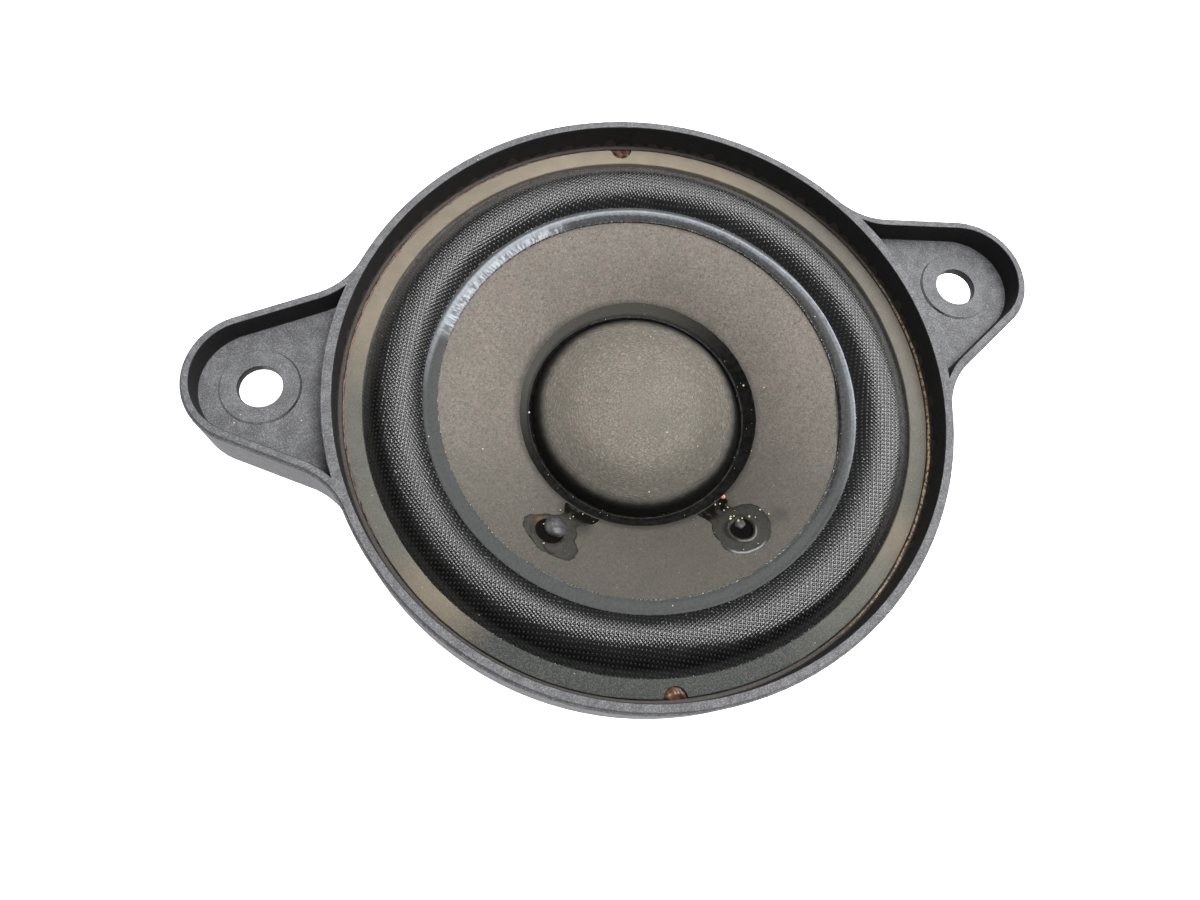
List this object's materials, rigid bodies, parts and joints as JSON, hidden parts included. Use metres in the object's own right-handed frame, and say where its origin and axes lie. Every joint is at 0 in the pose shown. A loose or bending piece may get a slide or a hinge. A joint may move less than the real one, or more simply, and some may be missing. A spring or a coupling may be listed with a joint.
{
  "type": "car speaker driver",
  "caption": "Small round car speaker driver: plastic basket with two mounting ears, cloth roll surround, paper cone, dust cap, voice coil, spider, ferrite motor and blade terminals.",
  "frame": {"origin": "on the speaker axis, in the flange's seat plane (the back face of the rim and ears)", "axes": "+Z out of the front along the speaker axis; +X parallel to the line through the two ear holes, towards the right ear seen from the front; the ear holes are 11 mm towards +Y; the terminals are on the -Y side"},
  "size_m": [0.1406, 0.101, 0.0526],
  "materials": {
    "basket_plastic": "dark grey moulded plastic, fine scuffed grain",
    "gasket_paper": "pressed paper ring, beige and grey-green in patches",
    "amber_glue": "dried brown contact glue",
    "surround_cloth": "black coated woven cloth, satin",
    "grey_glue": "smeared grey glue, shiny",
    "cone_paper": "taupe-grey fibrous paper",
    "cap_paper": "grey-taupe fibrous paper",
    "black_glue": "black glue, glossy",
    "tinsel_braid": "fine braided tinsel wire",
    "former_film": "amber heat-resistant film",
    "copper_wire": "enamelled copper wire, close wound",
    "collar_paper": "brown kraft paper",
    "spider_cloth": "amber resin-treated cotton, corrugated",
    "zinc_steel": "zinc-plated low-carbon steel",
    "ferrite": "dark grey ground ferrite",
    "black_screw": "black oxide screws",
    "board_laminate": "brown paper-resin laminate",
    "tab_brass": "stamped brass blades",
    "tinned_metal": "tinned metal",
    "solder": "bright solder"
  },
  "bodies": {
    "frame": {"basket": "basket_plastic", "gasket_ring": "gasket_paper", "gasket_glue": "amber_glue", "top_plate": "zinc_steel", "ring_magnet": "ferrite", "back_plate": "zinc_steel", "pole_piece": "zinc_steel", "motor_screws": "black_screw", "terminal_board": "board_laminate", "terminal_positive": "tab_brass", "terminal_negative": "tab_brass", "terminal_rivets": "tinned_metal", "solder_lugs": "tinned_metal", "solder_joint_left": "solder", "solder_joint_right": "solder"},
    "cone_assembly": {"surround": "surround_cloth", "surround_glue": "grey_glue", "cone": "cone_paper", "dust_cap": "cap_paper", "dust_cap_glue": "black_glue", "lead_glue_left": "black_glue", "lead_glue_right": "black_glue", "tinsel_lead_left": "tinsel_braid", "tinsel_lead_right": "tinsel_braid", "voice_coil_former": "former_film", "voice_coil_winding": "copper_wire", "coil_paper_collar": "collar_paper", "neck_glue": "black_glue", "spider": "spider_cloth", "spider_glue": "black_glue"}
  },
  "joints": [
    {"name": "cone_travel", "type": "slide", "parent": "frame", "child": "cone_assembly", "axis": [0, 0, 1], "range_m": [-0.0025, 0.0025], "stiffness_N_per_m": 1500, "deforming": ["surround", "spider", "tinsel_lead_left", "tinsel_lead_right"]}
  ]
}
